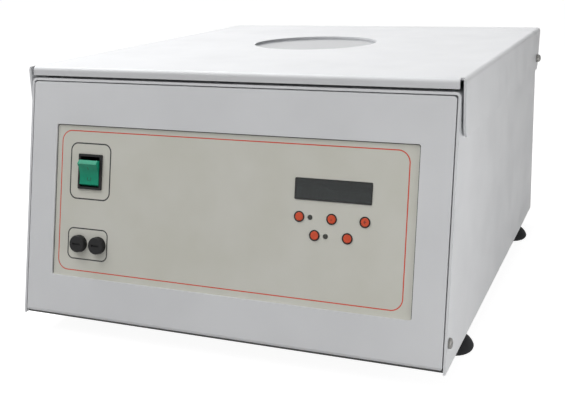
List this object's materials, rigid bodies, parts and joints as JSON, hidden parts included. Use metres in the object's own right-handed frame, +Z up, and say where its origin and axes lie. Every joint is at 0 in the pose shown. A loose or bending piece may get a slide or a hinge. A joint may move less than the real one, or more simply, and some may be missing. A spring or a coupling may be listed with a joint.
{
  "type": "bench centrifuge",
  "caption": "Bench centrifuge for butterfat tubes: a leaning-front sheet case with a hinged lid over a heated bowl, an inclined-sleeve rotor, a mains rocker, fuses and a keypad.",
  "frame": {"origin": "on the floor under the middle of the whole outline, feet on z = 0", "axes": "+X to the right of someone facing the front panel, +Y to the back, +Z up"},
  "size_m": [0.4168, 0.483, 0.2452],
  "materials": {
    "white_powder_coat": "fine satin powder coat",
    "dark_powder_coat": "dark grey powder coat",
    "zinc_steel": "zinc-plated sheet",
    "stainless_steel": "fine-brushed stainless",
    "turned_steel": "turned",
    "anodised_aluminium": "clear anodised, fine satin",
    "black_plastic": "moulded, fine texture",
    "label_film": "printed polyester film",
    "key_plastic": "satin",
    "rocker_plastic": "polished moulded plastic",
    "led_lens": "diffused lens",
    "clear_plastic": "clear polycarbonate",
    "display_pane": "smoked pane",
    "display_metal": "black frame",
    "board_laminate": "solder-masked laminate",
    "brass": "plated pin",
    "fuse_glass": "glass tube with metal ends",
    "white_nylon": "nylon",
    "black_rubber": "moulded rubber",
    "heater_silicone": "silicone heating mat",
    "sensor_brass": "turned",
    "copper_winding": "varnished winding",
    "lead_sheath": "flexible sheath"
  },
  "bodies": {
    "case": {"case_shell": "white_powder_coat", "base_plate": "dark_powder_coat", "rear_panel": "white_powder_coat", "pan_screws": "stainless_steel", "power_inlet": "black_plastic", "inlet_pins": "brass", "terminal_covers": "black_plastic", "front_panel": "white_powder_coat", "control_label": "label_film", "display_window": "display_pane", "display_unit": "display_metal", "control_board": "board_laminate", "board_standoffs": "stainless_steel", "indicator_leds": "led_lens", "key_collars": "black_plastic", "rocker_bezel": "black_plastic", "fuse_holders": "black_plastic", "fuses": "fuse_glass", "hinge_screws": "stainless_steel", "hinge_washers": "white_nylon", "lid_buffers": "black_rubber", "lock_body": "zinc_steel", "bowl": "stainless_steel", "bowl_seals": "black_rubber", "bowl_heater": "heater_silicone", "temperature_sensor": "sensor_brass", "motor_stator": "copper_winding", "motor_housing": "anodised_aluminium", "motor_bearings": "turned_steel", "motor_plate": "zinc_steel", "motor_bolts": "stainless_steel", "motor_mounts": "black_rubber", "feet": "black_rubber", "power_board": "board_laminate", "mains_lead": "lead_sheath"},
    "lid": {"lid_shell": "white_powder_coat", "lid_window": "clear_plastic", "window_ring": "stainless_steel", "lid_striker": "stainless_steel"},
    "rotor": {"rotor_plate": "anodised_aluminium", "rotor_nut": "anodised_aluminium", "motor_rotor": "turned_steel", "sleeve_cushions": "black_rubber", "tube_sleeve_1": "anodised_aluminium", "tube_sleeve_2": "anodised_aluminium", "tube_sleeve_3": "anodised_aluminium", "tube_sleeve_4": "anodised_aluminium", "tube_sleeve_5": "anodised_aluminium", "tube_sleeve_6": "anodised_aluminium", "tube_sleeve_7": "anodised_aluminium", "tube_sleeve_8": "anodised_aluminium"},
    "rocker": {"rocker_paddle": "rocker_plastic"},
    "fuse_left": {"fuse_cap_left": "black_plastic"},
    "fuse_right": {"fuse_cap_right": "black_plastic"},
    "bolt": {"lock_bolt": "stainless_steel"},
    "key_1": {"key_1": "key_plastic"},
    "key_2": {"key_2": "key_plastic"},
    "key_3": {"key_3": "key_plastic"},
    "key_4": {"key_4": "key_plastic"},
    "key_5": {"key_5": "key_plastic"}
  },
  "joints": [
    {"name": "lid_hinge", "type": "hinge", "parent": "case", "child": "lid", "pos_m": [0, 0.216, 0.2112], "axis": [-1, 0, 0], "range_deg": [0, 100]},
    {"name": "rotor_spin", "type": "hinge", "parent": "case", "child": "rotor", "pos_m": [0, 0.0385, 0.16853], "axis": [0, 0, 1], "continuous": true},
    {"name": "rocker_rock", "type": "hinge", "parent": "case", "child": "rocker", "pos_m": [-0.1338, -0.20864, 0.15208], "axis": [1, 0, 0], "range_deg": [-28, 0]},
    {"name": "fuse_turn_left", "type": "hinge", "parent": "case", "child": "fuse_left", "pos_m": [-0.1426, -0.22579, 0.08823], "axis": [0, -0.9791, 0.2035], "range_deg": [0, 90]},
    {"name": "fuse_turn_right", "type": "hinge", "parent": "case", "child": "fuse_right", "pos_m": [-0.1226, -0.22579, 0.08823], "axis": [0, -0.9791, 0.2035], "range_deg": [0, 90]},
    {"name": "key_press_1", "type": "slide", "parent": "case", "child": "key_1", "axis": [0, 0.9791, -0.2035], "range_m": [0, 0.0006], "stiffness_N_per_m": 800},
    {"name": "key_press_2", "type": "slide", "parent": "case", "child": "key_2", "axis": [0, 0.9791, -0.2035], "range_m": [0, 0.0006], "stiffness_N_per_m": 800},
    {"name": "key_press_3", "type": "slide", "parent": "case", "child": "key_3", "axis": [0, 0.9791, -0.2035], "range_m": [0, 0.0006], "stiffness_N_per_m": 800},
    {"name": "key_press_4", "type": "slide", "parent": "case", "child": "key_4", "axis": [0, 0.9791, -0.2035], "range_m": [0, 0.0006], "stiffness_N_per_m": 800},
    {"name": "key_press_5", "type": "slide", "parent": "case", "child": "key_5", "axis": [0, 0.9791, -0.2035], "range_m": [0, 0.0006], "stiffness_N_per_m": 800},
    {"name": "lock_slide", "type": "slide", "parent": "case", "child": "bolt", "axis": [-1, 0, 0], "range_m": [0, 0.01], "stiffness_N_per_m": 150}
  ]
}
